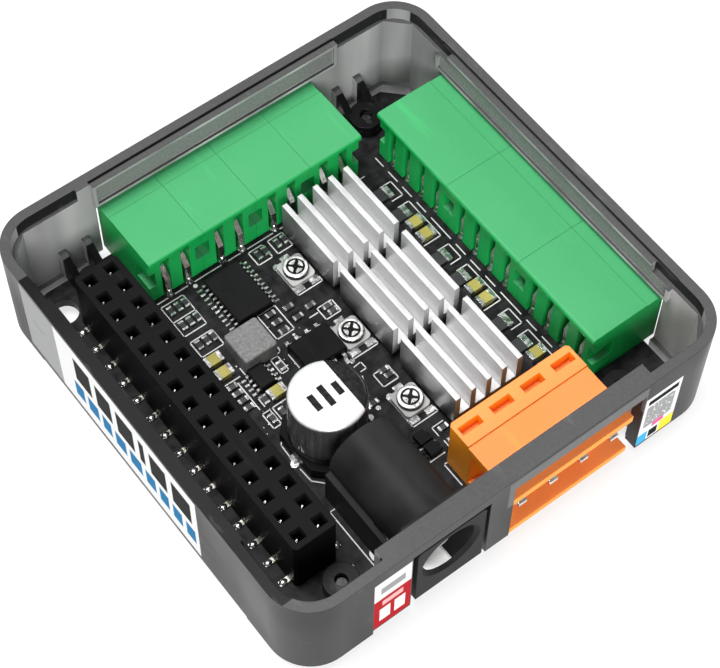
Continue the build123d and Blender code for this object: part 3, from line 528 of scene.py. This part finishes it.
SMALL_FRAMES = (
    (-2.6, 13.55, -0.75, 15.5), (-0.05, 13.5, 1.9, 15.5), (-6.45, 4.9, -4.2, 8.5),
    (-14.05, 11.0, -11.2, 15.4), (-14.0, 7.85, -11.2, 10.05), (-8.5, 1.25, -7.6, 3.3),
    (-12.95, -3.45, -12.0, -1.4), (-0.85, 3.75, 1.08, 5.45), (-1.0, -6.35, 0.95, -4.5),
)
SMALL_LINES = (
    ((-14.05, 13.1), (-11.2, 13.1)),
    ((-12.8, 3.1), (-12.8, -0.75)),
    ((-14.05, 3.63), (-12.2, 3.63)),
    ((-11.6, 4.4), (-11.6, 3.5)),
    ((-9.7, 3.53), (-7.05, 3.53), (-6.95, 4.1)),
    ((-6.6, 2.7), (-6.6, 0.8)),
    ((-11.35, 0.42), (-12.17, 0.42), (-12.19, -0.76)),
    ((-9.9, -1.37), (-11.67, -1.37), (-11.65, -3.4)),
    ((-2.1, 5.0), (-1.1, 5.0)),
    ((-2.0, -2.6), (-1.1, -2.5), (-1.06, -3.46), (-1.75, -3.45)),
    ((-2.0, -4.0), (-2.65, -5.6), (-3.9, -6.8)),
    ((-2.5, -14.4), (-0.7, -14.4)),
    ((-2.5, -16.1), (-0.7, -16.1)),
    ((1.4, -13.1), (0.0, -13.1), (0.0, -14.2)),
    ((0.1, -15.05), (0.1, -16.1)),
    ((-1.0, -17.15), (-1.6, -17.15), (-1.6, -20.0)),
    ((-12.05, -3.98), (-13.5, -5.44), (-13.57, -7.2)),
    ((-13.55, -8.8), (-13.45, -10.55), (-11.95, -12.15)),
    ((-13.5, -14.45), (-14.05, -14.45), (-14.05, -23.0)),
    ((-16.4, -20.3), (-15.7, -20.3), (-15.7, -21.0)),
)
INK_DOTS = ((-9.5, 15.5, 0.25), (-16.2, -20.9, 0.14), (-4.3, -8.34, 0.38), (-4.7, 4.35, 0.16))


def build_legend(ink):
    """White lines of the board's printing; the lists hold the shapes that don't repeat."""
    mesh = bmesh.new()
    io_pins = [c + d for c in IO_CENTRES for d in IO_PIN_OFFSETS]
    motor_pins = [c + d for c in MOTOR_CENTRES for d in MOTOR_PIN_OFFSETS]
    row_line(mesh, IO_LINE_Y, io_pins, -14.5, 13.5, True)
    row_line(mesh, MOTOR_LINE_X, motor_pins, -18.8, 17.2, False)
    for y in TRIMMER_CENTRES:
        stroke(mesh, [(-1.45, y + 1.3), (-1.45, y - 2.5), (1.75, y - 2.5), (1.75, y - 1.9)])
    for y in SINK_CENTRES:
        for lift in (2.05, -1.2):
            stroke(mesh, [(14.0, y + lift + 1.1), (15.43, y + lift + 1.1), (15.43, y + lift - 1.1)])
        stroke(mesh, [(14.0, y + 0.95), (15.43, y + 0.95)])
        stroke(mesh, [(15.44, y - 2.2), (15.44, y - 5.75), (13.2, y - 5.75)])
        for lift in (2.05, -1.2):
            # short bars stand where the resistors' values would be printed
            for step in (-0.45, 0.0, 0.45):
                stroke(mesh, [(11.0, y + lift + step), (11.0, y + lift + step + 0.2)], 0.45)
    for corners in SMALL_FRAMES:
        stroke(mesh, frame_points(*corners))
    for line in SMALL_LINES:
        stroke(mesh, line)
    for x, y, radius in INK_DOTS:
        disc(mesh, (x, y), radius, BOARD_TOP, BOARD_TOP + INK_HEIGHT)
    return piece("board_legend", mesh, ink)


TIN_PADS = (
    (-13.65, -8.0, 0.45), (0.66, -13.83, 0.3), (-2.62, -7.29, 0.3), (-2.94, -7.96, 0.28),
    (-3.58, -7.33, 0.3), (-2.3, 1.3, 0.28), (-1.75, -1.9, 0.3), (-2.7, -2.2, 0.26),
    (-4.5, -2.6, 0.24), (-2.1, 3.6, 0.24), (-7.5, 4.3, 0.22), (-6.7, -1.8, 0.22),
)


def build_pads(solder):
    """Bright round pads, trimmer pads and a scatter of small vias."""
    mesh = bmesh.new()
    top = BOARD_TOP + PAD_HEIGHT
    for x, y, radius in TIN_PADS:
        disc(mesh, (x, y), radius, BOARD_TOP, top)
    for y in TRIMMER_CENTRES:
        disc(mesh, (-1.2, y + 1.75), 0.42, BOARD_TOP, top)
    picker = random.Random(7)
    for _ in range(46):
        x = picker.uniform(-14.5, -2.2)
        y = picker.uniform(-3.5, 9.8)
        disc(mesh, (x, y), picker.uniform(0.06, 0.1), BOARD_TOP, top, 10)
    return piece("board_pads", mesh, solder)


# ---------------------------------------------------------------- solder
def build_solder(solder):
    """Concave fillets at the header pins and low mounds at the socket's leads."""
    mesh = bmesh.new()
    fillet = ((0.85, 0.0), (0.82, 0.06), (0.66, 0.2), (0.55, 0.42), (0.5, 0.75), (0.0, 0.8))
    for centre in IO_CENTRES:
        for shift in IO_PIN_OFFSETS:
            lathe(mesh, (centre + shift, IO_PIN_Y), fillet, (0.62, 0.95))
    for centre in MOTOR_CENTRES:
        for shift in MOTOR_PIN_OFFSETS:
            lathe(mesh, (MOTOR_PIN_X, centre + shift), fillet, (0.95, 0.62))
    mound = ((0.5, 0.0), (0.48, 0.12), (0.38, 0.26), (0.2, 0.36), (0.0, 0.4))
    for row in range(SOCKET_ROWS):
        y = PITCH * (row - (SOCKET_ROWS - 1) / 2)
        for x in SOCKET_LEAD_X:
            lathe(mesh, (x, y), mound, (1.1, 0.85))
    made = piece("solder_joints", mesh, solder)
    for face in made.data.polygons:
        face.use_smooth = True
    return made


# ---------------------------------------------------------------- contacts
def build_contact_tips(metal_look):
    """Fork ends of the bus socket's contacts, just below the mouths of its holes."""
    mesh = bmesh.new()
    for row in range(SOCKET_ROWS):
        y = PITCH * (row - (SOCKET_ROWS - 1) / 2)
        for x in SOCKET_COLUMNS:
            slab(mesh, [(x + dx, y + dy) for dx, dy in TIP_OUTLINE], TIP_LOW, TIP_TOP)
    return piece("socket_contact_tips", mesh, metal_look)


def build_jack_lining(metal_look):
    """Bright mouth of the jack's sleeve contact, round the lower side of its bore."""
    mesh = bmesh.new()
    rings = []
    for y in LINING_RINGS:
        for radius in (LINING_R, LINING_R - LINING_THICKNESS):
            ring = []
            for step in range(LINING_STEPS + 1):
                angle = math.radians(LINING_FROM + LINING_SWEEP * step / LINING_STEPS)
                place = (JACK_X + radius * math.cos(angle), y, JACK_AXIS + radius * math.sin(angle))
                ring.append(mesh.verts.new(place))
            rings.append(ring)
    outer = rings[0::2]
    inner = rings[1::2]
    for skin in (outer, inner):
        for front, rear in zip(skin, skin[1:]):
            for k in range(len(front) - 1):
                mesh.faces.new((front[k], front[k + 1], rear[k + 1], rear[k]))
    for a, b in ((outer[0], inner[0]), (outer[-1], inner[-1])):
        for k in range(len(a) - 1):
            mesh.faces.new((a[k], a[k + 1], b[k + 1], b[k]))
    for end in (0, -1):
        for k in range(len(outer) - 1):
            mesh.faces.new((outer[k][end], outer[k + 1][end], inner[k + 1][end], inner[k][end]))
    made = piece("jack_sleeve_mouth", mesh, metal_look)
    for face in made.data.polygons:
        face.use_smooth = True
    return made


# ---------------------------------------------------------------- stage
FLOOR_GLOW = 0.72


def area_light(name, place, target, size, energy):
    """Rectangular lamp that looks at the target."""
    data = bpy.data.lights.new(name, "AREA")
    data.shape = "RECTANGLE"
    data.size = size[0]
    data.size_y = size[1]
    data.energy = energy
    lamp = bpy.data.objects.new(name, data)
    lamp.location = place
    lamp.rotation_euler = (Vector(target) - Vector(place)).to_track_quat("-Z", "Y").to_euler()
    bpy.context.scene.collection.objects.link(lamp)


def build_floor():
    """Pale paper that glows a little, so that it stays white round the part."""
    mesh = bmesh.new()
    bmesh.ops.create_grid(mesh, x_segments=24, y_segments=24, size=1.5)
    data = bpy.data.meshes.new("studio_floor")
    mesh.to_mesh(data)
    mesh.free()
    floor = bpy.data.objects.new("studio_floor", data)
    bpy.context.scene.collection.objects.link(floor)
    look = Look("floor_paper", 0.85, Emission_Color=(1.0, 1.0, 1.0, 1.0), Emission_Strength=FLOOR_GLOW)
    look.colour(look.mix(look.noise(120.0), (0.22, 0.22, 0.22), (0.24, 0.24, 0.24)))
    look.relief(look.noise(1.5), 0.05, 0.05)
    data.materials.append(look.material)


def build_light():
    """Even white surroundings, one soft lamp above and two weaker ones at the sides."""
    world = bpy.data.worlds.new("studio")
    world.use_nodes = True
    back = world.node_tree.nodes["Background"]
    back.inputs["Color"].default_value = (1.0, 1.0, 1.0, 1.0)
    back.inputs["Strength"].default_value = 0.22
    bpy.context.scene.world = world
    bpy.context.scene.view_settings.view_transform = "Standard"
    area_light("key", (-0.12, 0.1, 0.85), (0, 0, 0), (0.35, 0.35), 11.0)
    area_light("right_fill", (0.6, 0.25, 0.45), (0, 0, 0), (0.3, 0.3), 1.5)
    area_light("front_fill", (-0.3, -0.6, 0.45), (0, 0, 0), (0.4, 0.3), 6.0)


CAMERA_AZIMUTH = math.radians(-39.034)
CAMERA_HEIGHT = math.radians(58.838)
CAMERA_ROLL = math.radians(-1.771)
CAMERA_RANGE = 0.216292
CAMERA_TARGET = Vector((0.003652, 0.001078, 0.0021))


def build_camera():
    """Camera that looks down at the front left corner, turned and shifted to frame the part."""
    level = math.cos(CAMERA_HEIGHT)
    back = Vector((
        math.sin(CAMERA_AZIMUTH) * level,
        -math.cos(CAMERA_AZIMUTH) * level,
        math.sin(CAMERA_HEIGHT),
    ))
    right = (-back).cross(Vector((0, 0, 1))).normalized()
    down = (-back).cross(right)
    turned_right = right * math.cos(CAMERA_ROLL) + down * math.sin(CAMERA_ROLL)
    turned_down = down * math.cos(CAMERA_ROLL) - right * math.sin(CAMERA_ROLL)
    data = bpy.data.cameras.new("camera")
    data.lens = 102.04
    data.sensor_width = 36.0
    data.shift_x = -0.0218
    data.shift_y = -0.0236
    data.clip_start = 0.01
    camera = bpy.data.objects.new("camera", data)
    bpy.context.scene.collection.objects.link(camera)
    turn = Matrix((turned_right, -turned_down, back)).transposed()
    camera.matrix_world = Matrix.Translation(CAMERA_TARGET + back * CAMERA_RANGE) @ turn.to_4x4()
    bpy.context.scene.camera = camera


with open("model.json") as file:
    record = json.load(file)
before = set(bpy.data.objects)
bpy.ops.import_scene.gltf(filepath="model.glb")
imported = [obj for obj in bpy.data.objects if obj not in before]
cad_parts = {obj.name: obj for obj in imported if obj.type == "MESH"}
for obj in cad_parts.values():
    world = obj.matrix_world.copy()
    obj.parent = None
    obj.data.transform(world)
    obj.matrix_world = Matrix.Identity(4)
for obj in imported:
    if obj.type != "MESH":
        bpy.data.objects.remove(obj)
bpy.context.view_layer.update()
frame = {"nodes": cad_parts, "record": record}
looks = make_looks()
ink_look = moulded("legend_ink", (0.34, 0.34, 0.34), (0.52, 0.52, 0.515), 0.6, 0.15, 0.0).material
sleeve_look = moulded("sleeve_plating", (0.78, 0.78, 0.77), (0.95, 0.95, 0.94), 0.35, 0.3, 0.0,
                      Metallic=0.3).material
dress_nodes(frame, looks)
build_legend(ink_look)
build_pads(looks["solder_tin"])
build_solder(looks["solder_tin"])
build_contact_tips(looks["tinned_pin"])
build_jack_lining(sleeve_look)
build_floor()
build_light()
build_camera()
